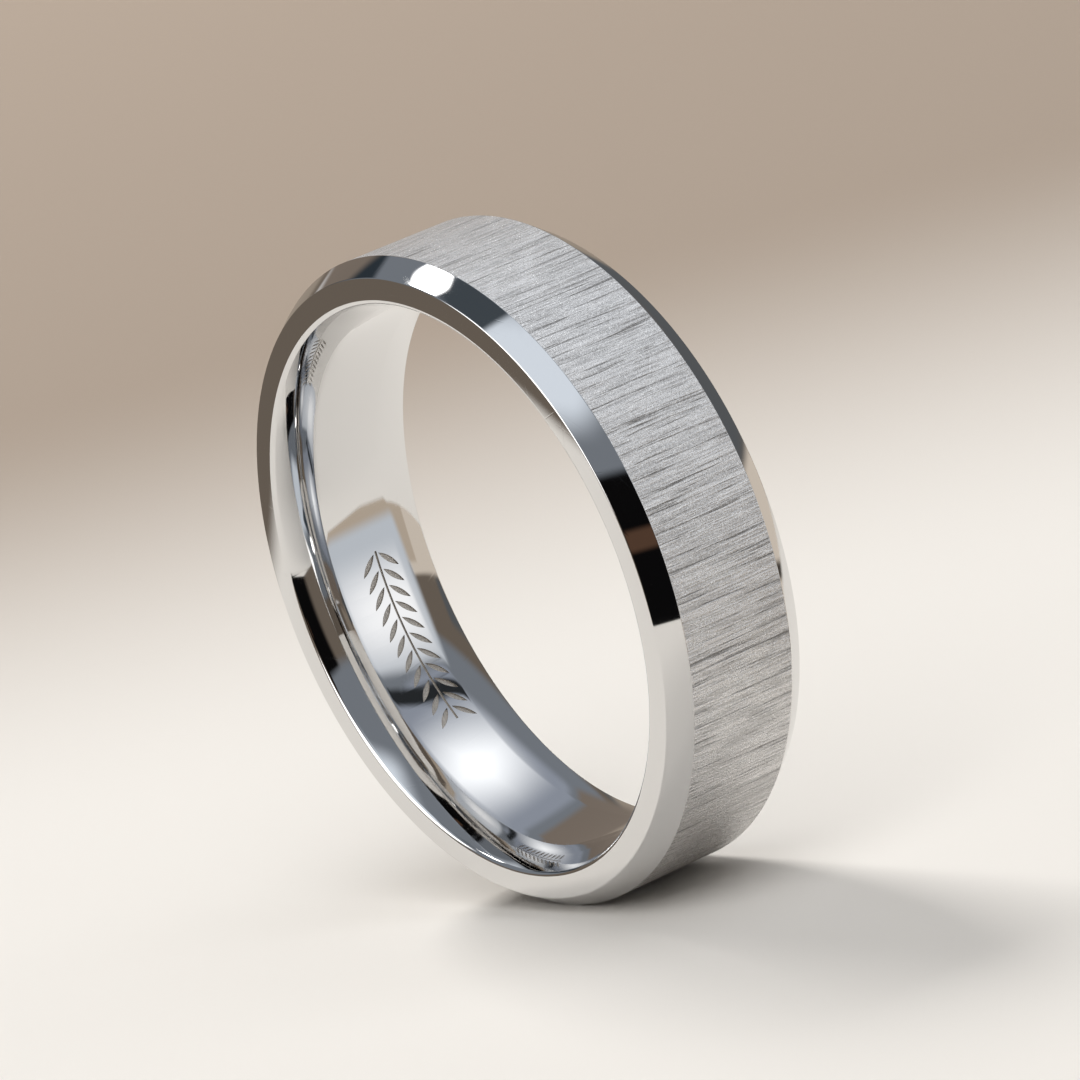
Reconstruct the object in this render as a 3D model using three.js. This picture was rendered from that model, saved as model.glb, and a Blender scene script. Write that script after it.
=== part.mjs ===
// Bevelled wedding band, standing on its edge.
// One piece of tungsten carbide: a flat outer band with a bevel along each side, two flat side
// faces, and a comfort-fit bore. Its middle is straight, and from a fine crease on each side a
// mouth opens out in a shallow curve.
// Millimetres, +Z up. The finger hole runs along Y and the ring's centre is the origin.
import * as THREE from 'three';

// Driving dimensions
const boreDiameter = 20.2;        // finger hole at its narrowest, US ring size 10 1/2
const wallThickness = 2.0;        // from the bore to the flat outer band
const bandWidth = 6.0;            // from side face to side face
const bevelWidth = 0.82;          // each bevel, measured along the finger
const bevelDrop = 0.56;           // each bevel, measured towards the centre
const straightBoreWidth = 2.6;    // the middle of the bore, which is a plain cylinder
const mouthRise = 0.52;           // how far each mouth of the bore opens out
const mouthCrease = 8;            // degrees of corner where a mouth leaves the straight bore
const flatsAround = 96;           // flats that make up each round surface
const stepsPerMouth = 6;          // short straights that make up each mouth's curve

// Worked out from them
const boreRadius = boreDiameter / 2;
const outerRadius = boreRadius + wallThickness;
const sideOuterRadius = outerRadius - bevelDrop;
const halfWidth = bandWidth / 2;
const halfBand = halfWidth - bevelWidth;
const halfStraight = straightBoreWidth / 2;
const mouthDepth = halfWidth - halfStraight;

// A mouth's curve is one arc. It leaves the straight bore at a slight corner and grows steeper up
// to the side face. Halfway along it is as steep as the straight line from end to end.
const firstSlope = (mouthCrease * Math.PI) / 180;
const halfwaySlope = Math.atan2(mouthRise, mouthDepth);
const lastSlope = 2 * halfwaySlope - firstSlope;
const mouthArcRadius = Math.hypot(mouthDepth, mouthRise) / (2 * Math.sin(halfwaySlope - firstSlope));

// The points of one mouth, from the straight bore to the side face, on the side that side gives
// (1 or -1).
function mouthPoints(side) {
  const points = [];
  for (let step = 0; step <= stepsPerMouth; step++) {
    const slope = firstSlope + ((lastSlope - firstSlope) * step) / stepsPerMouth;
    const radius = boreRadius + mouthArcRadius * (Math.cos(firstSlope) - Math.cos(slope));
    const along = halfStraight + mouthArcRadius * (Math.sin(slope) - Math.sin(firstSlope));
    points.push(new THREE.Vector2(radius, side * along));
  }
  return points;
}

// The section of the band, anticlockwise in radius and width, closed on itself: the near bevel,
// the flat band, the far bevel, the far side face, the bore, and the near side face.
function bandSection() {
  const start = new THREE.Vector2(sideOuterRadius, -halfWidth);
  return [
    start,
    new THREE.Vector2(outerRadius, -halfBand),
    new THREE.Vector2(outerRadius, halfBand),
    new THREE.Vector2(sideOuterRadius, halfWidth),
    ...mouthPoints(1).reverse(),
    ...mouthPoints(-1),
    start.clone(),
  ];
}

// The section turned round the finger's axis. Half a flat of turn puts the middle of a flat at the
// bottom, so the ring stands on it, and the corners between flats are moved out a little, so that
// every radius above is the true one at the middle of each flat.
function makeBand() {
  const halfFlatAngle = Math.PI / flatsAround;
  const geometry = new THREE.LatheGeometry(bandSection(), flatsAround, halfFlatAngle);
  const cornerScale = 1 / Math.cos(halfFlatAngle);
  geometry.scale(cornerScale, 1, cornerScale);
  const material = new THREE.MeshStandardMaterial({
    color: 0xb4b6ba,
    metalness: 1.0,
    roughness: 0.3,
  });
  const band = new THREE.Mesh(geometry, material);
  band.name = 'band';
  return band;
}

const weddingBand = new THREE.Group();
weddingBand.add(makeBand());

export default weddingBand;
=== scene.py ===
import math

import bpy
from mathutils import Matrix, Vector


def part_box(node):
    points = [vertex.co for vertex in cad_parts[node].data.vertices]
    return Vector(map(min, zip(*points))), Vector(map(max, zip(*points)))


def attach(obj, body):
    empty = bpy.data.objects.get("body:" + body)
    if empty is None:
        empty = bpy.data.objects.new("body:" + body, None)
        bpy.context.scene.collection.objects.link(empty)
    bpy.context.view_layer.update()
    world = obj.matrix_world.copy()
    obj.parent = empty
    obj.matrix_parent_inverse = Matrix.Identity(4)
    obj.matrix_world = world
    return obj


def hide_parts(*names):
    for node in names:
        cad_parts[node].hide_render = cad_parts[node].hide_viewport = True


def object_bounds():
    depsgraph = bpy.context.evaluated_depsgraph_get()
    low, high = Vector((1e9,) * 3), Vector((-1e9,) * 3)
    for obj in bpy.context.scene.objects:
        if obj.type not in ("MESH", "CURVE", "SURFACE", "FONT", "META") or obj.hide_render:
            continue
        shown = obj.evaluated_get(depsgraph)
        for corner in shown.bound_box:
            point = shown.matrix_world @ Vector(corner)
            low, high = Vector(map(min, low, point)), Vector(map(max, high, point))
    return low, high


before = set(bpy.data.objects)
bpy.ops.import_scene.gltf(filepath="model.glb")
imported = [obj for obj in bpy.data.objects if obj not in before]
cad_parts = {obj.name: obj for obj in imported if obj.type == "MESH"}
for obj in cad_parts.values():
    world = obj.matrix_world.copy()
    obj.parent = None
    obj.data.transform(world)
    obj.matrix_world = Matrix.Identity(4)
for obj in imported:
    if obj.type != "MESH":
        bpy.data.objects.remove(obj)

cad_low, cad_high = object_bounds()

# Camera
# A long lens on the ring from its right and its front, a little above the table. The camera is
# turned in the hand, so the upright ring seems to lean to one side. All lengths here are in metres.
camera_azimuth = math.radians(57.60)
camera_elevation = math.radians(10.93)
camera_lean = math.radians(-16.64)
camera_distance = 0.30064
camera_aim = Vector((0.00034, 0.00073, 0.00054))
camera_sensor = 36.0
camera_lens = 284.93

camera_data = bpy.data.cameras.new("camera")
camera_data.sensor_width = camera_sensor
camera_data.lens = camera_lens
camera_data.clip_start = 0.01
camera_data.clip_end = 20.0
camera = bpy.data.objects.new("camera", camera_data)
bpy.context.scene.collection.objects.link(camera)
camera_back = Vector((
    math.sin(camera_azimuth) * math.cos(camera_elevation),
    -math.cos(camera_azimuth) * math.cos(camera_elevation),
    math.sin(camera_elevation),
))
upright = camera_back.to_track_quat("Z", "Y").to_matrix().to_4x4()
camera.matrix_world = (
    Matrix.Translation(camera_aim + camera_back * camera_distance)
    @ upright
    @ Matrix.Rotation(camera_lean, 4, "Z")
)
bpy.context.scene.camera = camera
bpy.context.scene.view_settings.view_transform = "Standard"


# Table
# A plain pale sheet under the ring, darkened to brown towards the back by painted shade. Metal sees
# only the part near the ring, and past straight edges it sees the studio. The light that bounces up is
# dim and brown.
table_size = 6.0
table_colour = (0.80, 0.78, 0.75)
# Painted shade: the colour that the sheet darkens to towards the back.
table_painted_shade_colour = (0.36, 0.30, 0.25)
table_bounce_colour = (0.14, 0.105, 0.075)
table_back_turn = math.radians(10)
table_back_start = 0.03
table_back_end = 0.135
# name, the way past the edge, its distance from the ring, half the width of its blur
table_edges = (
    ("right back", (0.962, 0.275), 0.0140, 0.0010),
    ("right", (0.70, 0.714), 0.0182, 0.0008),
    ("front", (0.83, -0.56), 0.0385, 0.0004),
    ("left", (-1.0, 0.0), 0.076, 0.008),
)

bpy.ops.mesh.primitive_plane_add(size=table_size, location=(0.0, 0.0, cad_low.z))
table = bpy.context.active_object
table.name = "table"
bpy.ops.object.transform_apply(location=True, rotation=True, scale=True)

table_material = bpy.data.materials.new("pale table")
table_material.use_nodes = True
nodes, links = table_material.node_tree.nodes, table_material.node_tree.links


# These add to the node tree that nodes and links were last set to.
def join(first, second):
    """Links a value, or sets it where it is a plain number or colour."""
    if isinstance(first, bpy.types.NodeSocket):
        links.new(first, second)
    else:
        second.default_value = first


def math_node(operation, *values):
    node = nodes.new("ShaderNodeMath")
    node.operation = operation
    for value, socket in zip(values, node.inputs):
        join(value, socket)
    return node.outputs["Value"]


def vector_node(operation, *values):
    node = nodes.new("ShaderNodeVectorMath")
    node.operation = operation
    for value, socket in zip(values, node.inputs):
        join(value, socket)
    return node.outputs["Value" if operation in ("DOT_PRODUCT", "LENGTH") else "Vector"]


def ramp(value, start, end, first=0.0, last=1.0):
    """Runs smoothly from one number to another as a value runs from start to end."""
    node = nodes.new("ShaderNodeMapRange")
    node.interpolation_type = "SMOOTHSTEP"
    for number, name in (
        (value, "Value"), (start, "From Min"), (end, "From Max"), (first, "To Min"), (last, "To Max"),
    ):
        join(number, node.inputs[name])
    return node.outputs["Result"]


def mix_colours(amount, first, second):
    """Inputs 6 and 7 and output 2 are the Mix node's colour sockets."""
    node = nodes.new("ShaderNodeMix")
    node.data_type = "RGBA"
    join(amount, node.inputs["Factor"])
    for colour, socket in ((first, node.inputs[6]), (second, node.inputs[7])):
        join(colour if isinstance(colour, bpy.types.NodeSocket) else (*colour, 1.0), socket)
    return node.outputs[2]


table_shader = nodes["Principled BSDF"]
table_shader.inputs["Roughness"].default_value = 0.9
table_shader.inputs["Specular IOR Level"].default_value = 0.1
place = nodes.new("ShaderNodeTexCoord").outputs["Object"]
back_turn = camera_azimuth - table_back_turn
behind = vector_node("DOT_PRODUCT", place, (-math.sin(back_turn), math.cos(back_turn), 0.0))
ray = nodes.new("ShaderNodeLightPath")
# Painted shade: the sheet is painted darker and browner the further it lies behind the ring, away from
# the camera.
painted_shade_amount = ramp(behind, table_back_start, table_back_end)
sheet_and_shade_colour = mix_colours(painted_shade_amount, table_colour, table_painted_shade_colour)
join(
    mix_colours(ray.outputs["Is Diffuse Ray"], sheet_and_shade_colour, table_bounce_colour),
    table_shader.inputs["Base Color"],
)
past = {}
for name, (edge_x, edge_y), offset, fade in table_edges:
    past_edge = vector_node("DOT_PRODUCT", place, (edge_x, edge_y, 0.0))
    past[name] = ramp(past_edge, offset - fade, offset + fade)
past_right = math_node("MINIMUM", past["right back"], past["right"])
past_any = math_node("MAXIMUM", past_right, past["front"])
past_any = math_node("MAXIMUM", past_any, past["left"])
see_through = nodes.new("ShaderNodeBsdfTransparent")
table_or_studio = nodes.new("ShaderNodeMixShader")
join(math_node("MULTIPLY", past_any, ray.outputs["Is Glossy Ray"]), table_or_studio.inputs["Fac"])
links.new(table_shader.outputs["BSDF"], table_or_studio.inputs[1])
links.new(see_through.outputs["BSDF"], table_or_studio.inputs[2])
links.new(table_or_studio.outputs["Shader"], nodes["Material Output"].inputs["Surface"])
table.data.materials.append(table_material)


# Studio
# Soft boxes and dark flags a long way off, which the metal reflects, each at an azimuth (from the
# back of the ring, +Y, towards +X) and an elevation in degrees. The table and the camera see only
# an even pale light.
def direction(azimuth, elevation):
    a, e = math.radians(azimuth), math.radians(elevation)
    return Vector((math.sin(a) * math.cos(e), math.cos(a) * math.cos(e), math.sin(e)))


soft_box = bpy.data.node_groups.new("soft box", "ShaderNodeTree")
for name, kind in (
    ("Direction", "NodeSocketVector"), ("Facing", "NodeSocketVector"),
    ("Across", "NodeSocketVector"), ("Upwards", "NodeSocketVector"),
    ("Half Width", "NodeSocketFloat"), ("Half Height", "NodeSocketFloat"),
    ("Softness", "NodeSocketFloat"),
):
    soft_box.interface.new_socket(name, in_out="INPUT", socket_type=kind)
soft_box.interface.new_socket("Mask", in_out="OUTPUT", socket_type="NodeSocketFloat")
nodes, links = soft_box.nodes, soft_box.links
box_in = nodes.new("NodeGroupInput").outputs
ahead = vector_node("DOT_PRODUCT", box_in["Direction"], box_in["Facing"])
box_mask = math_node("GREATER_THAN", ahead, 0.0)
for side, half in (("Across", "Half Width"), ("Upwards", "Half Height")):
    sideways = vector_node("DOT_PRODUCT", box_in["Direction"], box_in[side])
    off_centre = math_node("DIVIDE", sideways, ahead)
    inner = math_node("SUBTRACT", box_in[half], box_in["Softness"])
    outer = math_node("ADD", box_in[half], box_in["Softness"])
    within = ramp(math_node("ABSOLUTE", off_centre), inner, outer, first=1.0, last=0.0)
    box_mask = math_node("MULTIPLY", box_mask, within)
join(box_mask, nodes.new("NodeGroupOutput").inputs["Mask"])

# name, azimuth, elevation, turn, half width, half height, softness, colour, strength
# All but the softness are in degrees. Softness is half the width of the blurred border, where 1 is
# 45 degrees.
studio_boxes = (
    ("room above", 0, 90, 0, 70, 70, 0.5, (0.80, 0.88, 1.00), 0.26),
    ("room behind", -22, 5, 0, 36, 7, 0.05, (0.90, 0.95, 1.00), 0.12),
    ("sheet's turned edge", 0, -14, 0, 34, 12, 0.02, (1.00, 0.88, 0.75), 0.72),
    ("crease in the sheet", -14, -15, 0, 14, 1.0, 0.01, (1.00, 0.85, 0.70), 0.06),
    ("cloth to the left", -60, 0, 0, 16, 9, 0.05, (1.00, 0.84, 0.68), 0.33),
    ("dark to the left", -86, 28, 0, 14, 10, 0.03, (0.60, 0.80, 1.00), 0.05),
    ("strip to the left", -76, 14, 0, 5, 1.6, 0.02, (1.00, 1.00, 1.00), 1.20),
    ("foot of the wall", 58, -20, 0, 32, 14, 0.02, (1.00, 0.84, 0.67), 0.54),
    ("bright wall", 58, 3, 0, 24, 26, 0.06, (0.86, 0.92, 1.00), 0.72),
    ("wall's middle", 58, 8, 0, 14, 14, 0.22, (0.97, 0.98, 1.00), 1.25),
    ("black flag", 127, -2, 0, 26, 25, 0.04, (1.00, 0.95, 1.00), 0.004),
    ("screen over the camera", -168, 22, 0, 22, 19, 0.05, (1.00, 1.00, 1.00), 2.60),
    ("brown card", 126, 3, 0, 5, 3, 0.02, (1.00, 0.55, 0.35), 0.10),
    ("front soft box", 162, 57, 0, 24, 16, 0.14, (0.84, 0.91, 1.00), 1.02),
    ("overhead flag", -142, 68, 0, 11, 7, 0.03, (0.70, 0.85, 1.00), 0.09),
    ("back screen", 8, 58, 0, 38, 20, 0.08, (0.76, 0.84, 1.00), 0.42),
    ("back soft box", 8, 60, 0, 15, 9, 0.34, (0.96, 0.98, 1.00), 2.00),
    ("taupe to the left", -64, 24, 25, 20, 15, 0.05, (1.00, 0.82, 0.68), 0.22),
    ("bar", 49, 39, 0, 16, 3.2, 0.03, (0.80, 0.90, 1.00), 0.03),
    ("spark", -110, 57, 0, 5.0, 5.0, 0.03, (1.00, 1.00, 1.00), 14.0),
)
studio_base_colour = (0.165, 0.135, 0.108)
pale_light_colour = (0.97, 0.93, 0.88)
pale_light_strength = 0.18

studio = bpy.data.worlds.new("studio")
bpy.context.scene.world = studio
studio.use_nodes = True
nodes, links = studio.node_tree.nodes, studio.node_tree.links
look = nodes.new("ShaderNodeTexCoord").outputs["Generated"]
seen = studio_base_colour
for name, azimuth, elevation, turn, half_width, half_height, softness, colour, strength in studio_boxes:
    facing = direction(azimuth, elevation)
    across = direction(azimuth + 90, 0)
    upwards = across.cross(facing)
    spin = Matrix.Rotation(math.radians(turn), 3, facing)
    box = nodes.new("ShaderNodeGroup")
    box.node_tree = soft_box
    box.label = name
    box.inputs["Facing"].default_value = facing
    box.inputs["Across"].default_value = spin @ across
    box.inputs["Upwards"].default_value = spin @ upwards
    box.inputs["Half Width"].default_value = math.tan(math.radians(half_width))
    box.inputs["Half Height"].default_value = math.tan(math.radians(half_height))
    box.inputs["Softness"].default_value = softness
    join(look, box.inputs["Direction"])
    seen = mix_colours(box.outputs["Mask"], seen, [c * strength for c in colour])
studio_light = nodes["Background"]
join(seen, studio_light.inputs["Color"])
pale_light = nodes.new("ShaderNodeBackground")
pale_light.inputs["Color"].default_value = (*pale_light_colour, 1.0)
pale_light.inputs["Strength"].default_value = pale_light_strength
ray = nodes.new("ShaderNodeLightPath")
light_or_studio = nodes.new("ShaderNodeMixShader")
links.new(ray.outputs["Is Glossy Ray"], light_or_studio.inputs["Fac"])
links.new(pale_light.outputs["Background"], light_or_studio.inputs[1])
links.new(studio_light.outputs["Background"], light_or_studio.inputs[2])
links.new(light_or_studio.outputs["Shader"], nodes["World Output"].inputs["Surface"])

# Three lights fall on the table and on the brushed metal: a window from the left that throws the
# ring's shadow, and a wide screen almost overhead and a wide lamp in front that soften it. Polished
# metal reflects none of them, because the soft boxes stand for them there.
light_distance = 0.9
for name, azimuth, elevation, size, energy, colour in (
    ("window", -77, 41, 0.26, 5.9, (1.00, 0.97, 0.93)),
    ("overhead screen", 72, 64, 0.80, 2.6, (0.97, 0.98, 1.00)),
    ("front lamp", 130, 52, 0.70, 3.3, (1.00, 0.99, 0.97)),
):
    light_data = bpy.data.lights.new(name, "AREA")
    light_data.size = size
    light_data.energy = energy
    light_data.color = colour
    light = bpy.data.objects.new(name, light_data)
    bpy.context.scene.collection.objects.link(light)
    light.location = direction(azimuth, elevation) * light_distance
    light.rotation_mode = "QUATERNION"
    light.rotation_quaternion = light.location.to_track_quat("Z", "Y")
    light.visible_glossy = False


# Band
# The whole ring: one piece of tungsten carbide, pressed and sintered, then ground to its section on
# a spindle. The flat outside is brushed along the finger, and the rest is polished. Here the section
# is ground in the same way, one straight pass at a time, and then turned round the finger's axis.
band_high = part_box("band")[1]
outer_radius = band_high.z
half_width = band_high.y
wall_thickness = 0.0020
bevel_width = 0.00082
bevel_drop = 0.00056
straight_bore_width = 0.0026
mouth_rise = 0.00052
mouth_crease = 8.0
band_edge_radius = 0.00004
side_edge_radius = 0.00008
mouth_edge_radius = 0.00022
mouth_passes = 14
band_edge_passes = 4
side_edge_passes = 7
mouth_edge_passes = 10
steps_around = 720
grind_threshold = 1e-8
merge_distance = 2e-7

bore_radius = outer_radius - wall_thickness
half_band = half_width - bevel_width
half_straight = straight_bore_width / 2
bevel_turn = math.degrees(math.atan2(bevel_drop, bevel_width))
mouth_depth = half_width - half_straight
mouth_halfway = math.degrees(math.atan2(mouth_rise, mouth_depth))
mouth_last = 2 * mouth_halfway - mouth_crease
mouth_arc_radius = math.hypot(mouth_depth, mouth_rise) / (
    2 * math.sin(math.radians(mouth_halfway - mouth_crease))
)
mouth_arc_middle = (
    bore_radius + mouth_arc_radius * math.cos(math.radians(mouth_crease)),
    half_straight - mouth_arc_radius * math.sin(math.radians(mouth_crease)),
)


def grind(x, y, turn):
    """Grinds a blank in the XY plane flat through a point. Turn is the way the waste lies, in
    degrees: 0 is towards +X and 90 is towards +Y."""
    bpy.ops.mesh.select_all(action="SELECT")
    bpy.ops.mesh.bisect(
        plane_co=(x, y, 0.0),
        plane_no=(math.cos(math.radians(turn)), math.sin(math.radians(turn)), 0.0),
        clear_outer=True,
        threshold=grind_threshold,
    )


def grind_arc(x, y, arc_radius, first_turn, last_turn, passes):
    """Rounds a blank with passes that touch an arc, from one turn to another."""
    for number in range(passes):
        turn = first_turn + (last_turn - first_turn) * (number + 0.5) / passes
        reach = math.radians(turn)
        grind(x + arc_radius * math.cos(reach), y + arc_radius * math.sin(reach), turn)


def round_edge(x, y, edge_radius, first_turn, last_turn, passes):
    """Rounds the edge where two flats meet. The turns are the ways that the flats face."""
    middle = math.radians((first_turn + last_turn) / 2)
    inset = edge_radius / math.cos(math.radians((last_turn - first_turn) / 2))
    grind_arc(
        x - inset * math.cos(middle), y - inset * math.sin(middle),
        edge_radius, first_turn, last_turn, passes,
    )


def blank(name, x, y, length, width):
    """A new flat blank in the XY plane, centred on a point and open for grinding."""
    bpy.ops.object.select_all(action="DESELECT")
    bpy.ops.mesh.primitive_plane_add(size=1.0, location=(x, y, 0.0))
    piece = bpy.context.active_object
    piece.name = name
    piece.scale = (length, width, 1.0)
    bpy.ops.object.transform_apply(location=True, rotation=True, scale=True)
    bpy.ops.object.mode_set(mode="EDIT")
    return piece


band = blank(
    "wedding_band", bore_radius + wall_thickness / 2, 0.0, wall_thickness, 2 * half_width
)
for side in (1, -1):
    grind(outer_radius, side * half_band, side * bevel_turn)
    grind_arc(
        mouth_arc_middle[0], side * mouth_arc_middle[1], mouth_arc_radius,
        side * (180 - mouth_last), side * (180 - mouth_crease), mouth_passes,
    )
    round_edge(
        outer_radius, side * half_band, band_edge_radius,
        0, side * bevel_turn, band_edge_passes,
    )
    round_edge(
        outer_radius - bevel_drop, side * half_width, side_edge_radius,
        side * bevel_turn, side * 90, side_edge_passes,
    )
    round_edge(
        bore_radius + mouth_rise, side * half_width, mouth_edge_radius,
        side * 90, side * (180 - mouth_last), mouth_edge_passes,
    )
bpy.ops.mesh.select_all(action="SELECT")
bpy.ops.mesh.delete(type="ONLY_FACE")
bpy.ops.object.mode_set(mode="OBJECT")
turned = band.modifiers.new("turned", "SCREW")
turned.axis = "Y"
turned.angle = math.tau
turned.steps = steps_around
turned.render_steps = steps_around
turned.use_merge_vertices = True
turned.merge_threshold = merge_distance
bpy.ops.object.modifier_apply(modifier=turned.name)
bpy.ops.object.mode_set(mode="EDIT")
bpy.ops.mesh.select_all(action="SELECT")
bpy.ops.mesh.remove_doubles(threshold=merge_distance)
bpy.ops.mesh.normals_make_consistent(inside=False)
bpy.ops.object.mode_set(mode="OBJECT")

# The finishes. Handling marks are the fine hairlines and faint smears that any polished or brushed
# metal picks up. The hairlines lie in three directions, in patches, on the unrolled surface. Scales
# are counts per metre.
hairline_turns = (17, 64, 128)
hairline_stretch = (1.0, 0.02, 1.0)
hairline_thickness = 0.010
patch_scale = 600.0
patch_border = (0.52, 0.62)
smear_scale = 420.0

handling_marks = bpy.data.node_groups.new("handling marks", "ShaderNodeTree")
for name, in_or_out, kind in (
    ("Position", "INPUT", "NodeSocketVector"), ("Lines per Metre", "INPUT", "NodeSocketFloat"),
    ("Hairlines", "OUTPUT", "NodeSocketFloat"), ("Smears", "OUTPUT", "NodeSocketFloat"),
):
    handling_marks.interface.new_socket(name, in_out=in_or_out, socket_type=kind)


def noise_node(position, scale=1.0, detail=2.0, roughness=0.5, output="Fac"):
    node = nodes.new("ShaderNodeTexNoise")
    for value, name in (
        (position, "Vector"), (scale, "Scale"), (detail, "Detail"), (roughness, "Roughness"),
    ):
        join(value, node.inputs[name])
    return node.outputs[output]


nodes, links = handling_marks.nodes, handling_marks.links
marks_in = nodes.new("NodeGroupInput").outputs
marks_out = nodes.new("NodeGroupOutput").inputs
across_finger = nodes.new("ShaderNodeSeparateXYZ")
join(marks_in["Position"], across_finger.inputs["Vector"])
x, y, z = across_finger.outputs
radius = math_node("SQRT", math_node("ADD", math_node("MULTIPLY", x, x), math_node("MULTIPLY", z, z)))
unrolled = nodes.new("ShaderNodeCombineXYZ")
join(math_node("MULTIPLY", math_node("ARCTAN2", x, z), outer_radius), unrolled.inputs["X"])
join(math_node("ADD", y, radius), unrolled.inputs["Y"])
unrolled = unrolled.outputs["Vector"]
hairlines = 0.0
for turn in hairline_turns:
    turned = nodes.new("ShaderNodeVectorRotate")
    turned.rotation_type = "Z_AXIS"
    turned.inputs["Angle"].default_value = math.radians(turn)
    join(unrolled, turned.inputs["Vector"])
    long_way = vector_node("MULTIPLY", turned.outputs["Vector"], hairline_stretch)
    lines = noise_node(long_way, marks_in["Lines per Metre"], detail=1.0)
    near_middle = math_node("ABSOLUTE", math_node("SUBTRACT", lines, 0.5))
    patches = noise_node(turned.outputs["Vector"], patch_scale + turn, detail=1.0)
    here = ramp(patches, *patch_border)
    line = ramp(near_middle, 0.0, hairline_thickness, first=1.0, last=0.0)
    line = math_node("MULTIPLY", line, here)
    hairlines = math_node("MAXIMUM", hairlines, line)
join(hairlines, marks_out["Hairlines"])
smears = noise_node(marks_in["Position"], smear_scale, detail=3.0, roughness=0.6)
join(smears, marks_out["Smears"])


def metal(name, colour, roughness, anisotropic=0.0):
    """A new metal material and its shader. Nodes may take over the colour and the roughness."""
    material = bpy.data.materials.new(name)
    material.use_nodes = True
    shader = material.node_tree.nodes["Principled BSDF"]
    shader.inputs["Metallic"].default_value = 1.0
    shader.inputs["Base Color"].default_value = (*colour, 1.0)
    shader.inputs["Roughness"].default_value = roughness
    shader.inputs["Anisotropic"].default_value = anisotropic
    return material, shader


def bump(height, strength, distance):
    node = nodes.new("ShaderNodeBump")
    join(height, node.inputs["Height"])
    node.inputs["Strength"].default_value = strength
    node.inputs["Distance"].default_value = distance
    return node.outputs["Normal"]


def marks_on(position, lines_per_metre):
    node = nodes.new("ShaderNodeGroup")
    node.node_tree = handling_marks
    join(position, node.inputs["Position"])
    node.inputs["Lines per Metre"].default_value = lines_per_metre
    return node.outputs["Hairlines"], node.outputs["Smears"]


# Polished: the bevels, the side faces and the bore. Smears dull it a little, and hairlines more.
polished_colour = (0.73, 0.725, 0.72)
polished_roughness = 0.03
polished_hairline_scale = 700.0
smear_range = (0.35, 0.75)
smeared_roughness = (0.022, 0.055)
hairline_roughness = 0.05
hairline_strength = 0.2
hairline_depth = 0.000001
polished, shader = metal("polished tungsten carbide", polished_colour, polished_roughness)
nodes, links = polished.node_tree.nodes, polished.node_tree.links
place = nodes.new("ShaderNodeTexCoord").outputs["Object"]
hairlines, smears = marks_on(place, polished_hairline_scale)
smeared = ramp(smears, *smear_range, *smeared_roughness)
scratched = math_node("MULTIPLY", hairlines, hairline_roughness)
join(math_node("ADD", smeared, scratched), shader.inputs["Roughness"])
scratches = math_node("MULTIPLY", hairlines, -1.0)
join(bump(scratches, hairline_strength, hairline_depth), shader.inputs["Normal"])

# Brushed: the flat outside. The strokes lie along the finger, a little wavy. Fine dark ones are cut
# deeper than the rest, and a grain lies over them all. The strokes scatter some of the light, so the
# surface is less than fully metallic.
brushed_dark = (0.30, 0.295, 0.29)
brushed_light = (1.0, 1.0, 1.0)
brushed_roughness = 0.36
brushed_anisotropy = 0.65
brushed_metallic = 0.60
wander_scale = 330.0
wander_reach = 0.00010
fine_scale = (16000.0, 380.0, 16000.0)
fine_range = (0.33, 0.67)
deep_scale = (10500.0, 230.0, 10500.0)
deep_range = (0.33, 0.44)
grain_scale = 16000.0
grain_range = (0.30, 0.70)
brushed_hairline_scale = 500.0
brushed_strength = 1.0
brushed_depth = 0.000026
brushed, shader = metal(
    "brushed tungsten carbide", brushed_light, brushed_roughness, brushed_anisotropy
)
shader.inputs["Metallic"].default_value = brushed_metallic
nodes, links = brushed.node_tree.nodes, brushed.node_tree.links
place = nodes.new("ShaderNodeTexCoord").outputs["Object"]
wander = noise_node(place, wander_scale, detail=1.0, output="Color")
wander = vector_node("SUBTRACT", wander, (0.5, 0.5, 0.5))
wander = vector_node("MULTIPLY", wander, (wander_reach, 0.0, wander_reach))
wavy = vector_node("ADD", place, wander)
fine_strokes = noise_node(vector_node("MULTIPLY", wavy, fine_scale), roughness=0.6)
fine_strokes = ramp(fine_strokes, *fine_range)
deep_strokes = noise_node(vector_node("MULTIPLY", wavy, deep_scale), detail=3.0, roughness=0.6)
deep_strokes = ramp(deep_strokes, *deep_range, first=1.0, last=0.0)
grain = ramp(noise_node(place, grain_scale, roughness=0.6), *grain_range)
hairlines, smears = marks_on(place, brushed_hairline_scale)

# The height and the shade each add up the same marks. Each line's number is how much of that mark.
height = math_node("MULTIPLY", fine_strokes, 0.50)
height = math_node("ADD", height, math_node("MULTIPLY", grain, 0.35))
height = math_node("SUBTRACT", height, math_node("MULTIPLY", deep_strokes, 0.70))
height = math_node("SUBTRACT", height, math_node("MULTIPLY", hairlines, 0.25))
shade = math_node("ADD", math_node("MULTIPLY", fine_strokes, 0.55), math_node("MULTIPLY", grain, 0.45))
shade = math_node("ADD", shade, ramp(smears, 0.3, 0.7, first=0.30, last=0.40))
shade = math_node("SUBTRACT", shade, math_node("MULTIPLY", deep_strokes, 0.65))
shade = math_node("ADD", shade, math_node("MULTIPLY", hairlines, 0.15))
join(mix_colours(shade, brushed_dark, brushed_light), shader.inputs["Base Color"])
join(ramp(shade, 0.2, 1.1, first=0.34, last=0.26), shader.inputs["Roughness"])
join(bump(height, brushed_strength, brushed_depth), shader.inputs["Normal"])
round_the_finger = nodes.new("ShaderNodeTangent")
round_the_finger.direction_type = "RADIAL"
round_the_finger.axis = "Y"
join(round_the_finger.outputs["Tangent"], shader.inputs["Tangent"])

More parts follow.
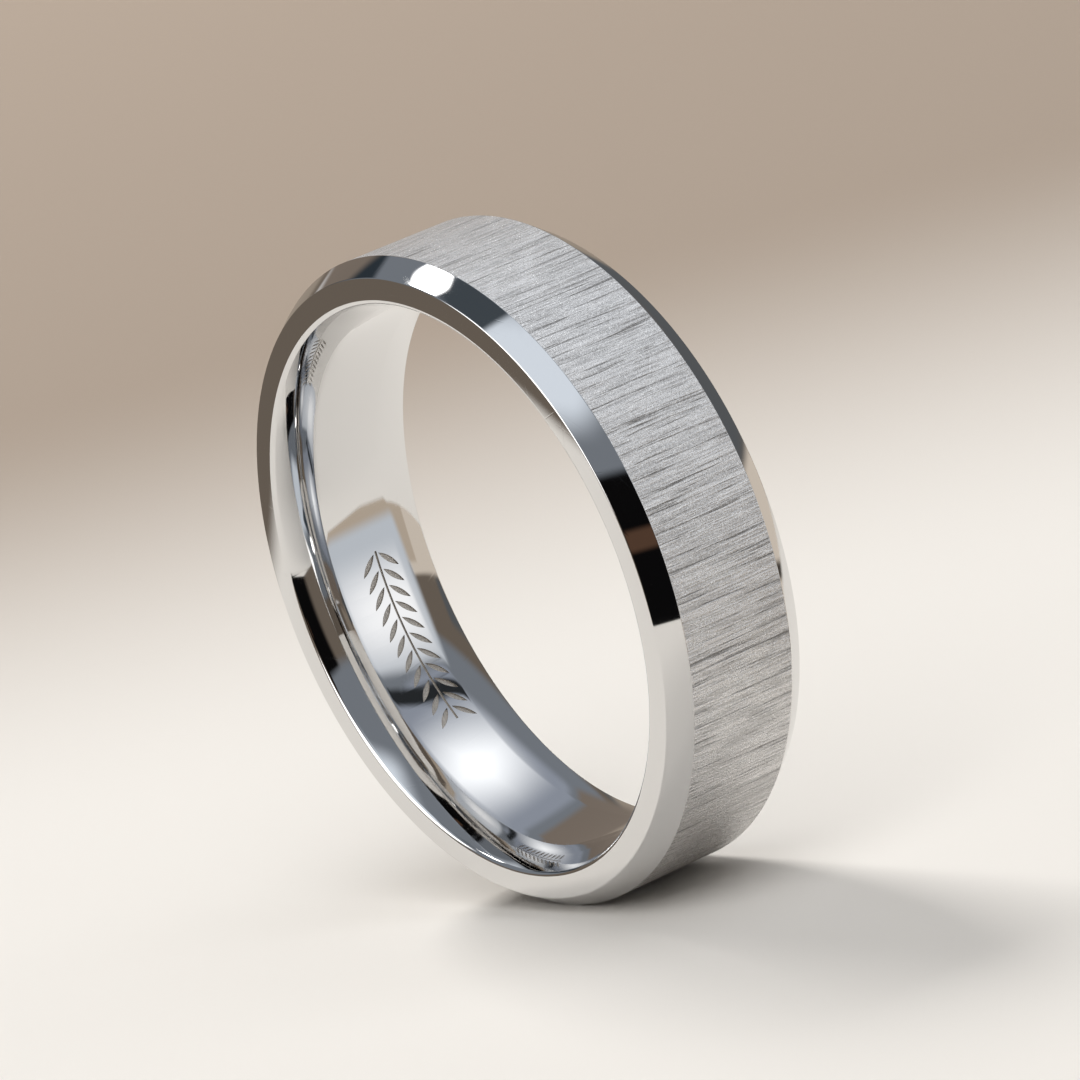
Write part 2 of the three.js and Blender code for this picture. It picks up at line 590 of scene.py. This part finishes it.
# The flat band's faces reach across the whole flat, so their middles lie on the ring's middle line.
flat_allowance = 2e-6
band.data.materials.append(polished)
band.data.materials.append(brushed)
for face in band.data.polygons:
    middle = face.center
    radius = math.hypot(middle.x, middle.z)
    on_top = radius > outer_radius - flat_allowance
    face.material_index = 1 if on_top and abs(middle.y) < half_band / 2 else 0

# The engraving in the bore: a stem with a row of slanting leaves on each side, cut shallow and
# left matt.
engraving_middle = math.radians(198.3)
engraving_length = math.radians(39.0)
engraving_along = 0.00045
engraving_depth = 0.000055
stem_width = 0.00009
leaf_length = 0.00098
leaf_width = 0.00021
leaf_slant = 45.0
leaf_gap = 0.00006
leaves_per_side = 11
cutter_height = 0.0003
first_leaf_at = 0.7  # of the space from leaf to leaf
stem_steps = 40
leaf_passes = 9
cutter_merge_distance = 2e-8

engraved_colour = (0.60, 0.56, 0.51)
engraved_dark = (0.38, 0.35, 0.32)
engraved_light = (0.72, 0.68, 0.62)
engraved_roughness = 0.50
engraved_metallic = 0.6
pit_scale = 26000.0
pit_range = (0.3, 0.7)
pit_strength = 0.5
pit_depth = 0.000006
engraved, shader = metal("engraved tungsten carbide", engraved_colour, engraved_roughness)
shader.inputs["Metallic"].default_value = engraved_metallic
nodes, links = engraved.node_tree.nodes, engraved.node_tree.links
place = nodes.new("ShaderNodeTexCoord").outputs["Object"]
pits = noise_node(place, pit_scale, roughness=0.6)
pitted_colour = mix_colours(ramp(pits, *pit_range), engraved_dark, engraved_light)
join(pitted_colour, shader.inputs["Base Color"])
join(bump(pits, pit_strength, pit_depth), shader.inputs["Normal"])

stem = blank(
    "stem cutter", bore_radius + engraving_depth - cutter_height / 2, engraving_along,
    cutter_height, stem_width,
)
bpy.ops.mesh.select_all(action="SELECT")
bpy.ops.mesh.spin(
    steps=stem_steps, angle=engraving_length, center=(0.0, 0.0, 0.0), axis=(0.0, 1.0, 0.0)
)
bpy.ops.object.mode_set(mode="OBJECT")
stem.rotation_euler.y = -(engraving_middle - engraving_length / 2)
bpy.ops.object.transform_apply(location=False, rotation=True, scale=False)

first_leaf = blank("leaf cutter", 0.0, 0.0, leaf_length, leaf_width)
leaf_arc_radius = ((leaf_length / 2) ** 2 + (leaf_width / 2) ** 2) / leaf_width
leaf_arc_reach = math.degrees(math.asin(leaf_length / 2 / leaf_arc_radius))
for side in (1, -1):
    grind_arc(
        0.0, side * (leaf_width / 2 - leaf_arc_radius), leaf_arc_radius,
        side * 90 - leaf_arc_reach, side * 90 + leaf_arc_reach, leaf_passes,
    )
bpy.ops.mesh.select_all(action="SELECT")
bpy.ops.mesh.extrude_region_move(TRANSFORM_OT_translate={"value": (0.0, 0.0, cutter_height)})
bpy.ops.object.mode_set(mode="OBJECT")

cutters = [stem]
for side in (1, -1):
    for number in range(leaves_per_side):
        leaf = first_leaf.copy()
        leaf.data = first_leaf.data.copy()
        bpy.context.scene.collection.objects.link(leaf)
        slant = math.radians(90 - leaf_slant * side)
        reach = stem_width / 2 + leaf_gap + leaf_length / 2 * math.sin(math.radians(leaf_slant))
        along_stem = (number + first_leaf_at) / leaves_per_side - 0.5
        angle = engraving_middle + engraving_length * along_stem
        leaf.matrix_world = (
            Matrix.Rotation(-angle, 4, "Y")
            @ Matrix.Translation((bore_radius + engraving_depth, engraving_along + side * reach, 0.0))
            @ Matrix.Rotation(-math.pi / 2, 4, "Y")
            @ Matrix.Rotation(slant, 4, "Z")
        )
        cutters.append(leaf)
bpy.data.objects.remove(first_leaf)
bpy.ops.object.select_all(action="DESELECT")
for cutter in cutters:
    cutter.select_set(True)
bpy.context.view_layer.objects.active = stem
bpy.ops.object.transform_apply(location=True, rotation=True, scale=True)
bpy.ops.object.join()
stem.data.materials.append(engraved)
bpy.ops.object.mode_set(mode="EDIT")
bpy.ops.mesh.select_all(action="SELECT")
bpy.ops.mesh.remove_doubles(threshold=cutter_merge_distance)
bpy.ops.mesh.normals_make_consistent(inside=False)
bpy.ops.object.mode_set(mode="OBJECT")

bpy.ops.object.select_all(action="DESELECT")
band.select_set(True)
bpy.context.view_layer.objects.active = band
engrave = band.modifiers.new("engrave", "BOOLEAN")
engrave.operation = "DIFFERENCE"
engrave.solver = "EXACT"
engrave.material_mode = "TRANSFER"
engrave.object = stem
bpy.ops.object.modifier_apply(modifier=engrave.name)
bpy.data.objects.remove(stem)

# Soft shading over the rounded edges, which leaves the flats flat and the engraving crisp.
sharpest_smooth_angle = math.radians(25)
bpy.ops.object.shade_smooth_by_angle(angle=sharpest_smooth_angle)
finish_normals = band.modifiers.new("finish normals", "WEIGHTED_NORMAL")
finish_normals.weight = 100
finish_normals.keep_sharp = True
bpy.ops.object.modifier_apply(modifier=finish_normals.name)

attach(band, "root")
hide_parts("band")
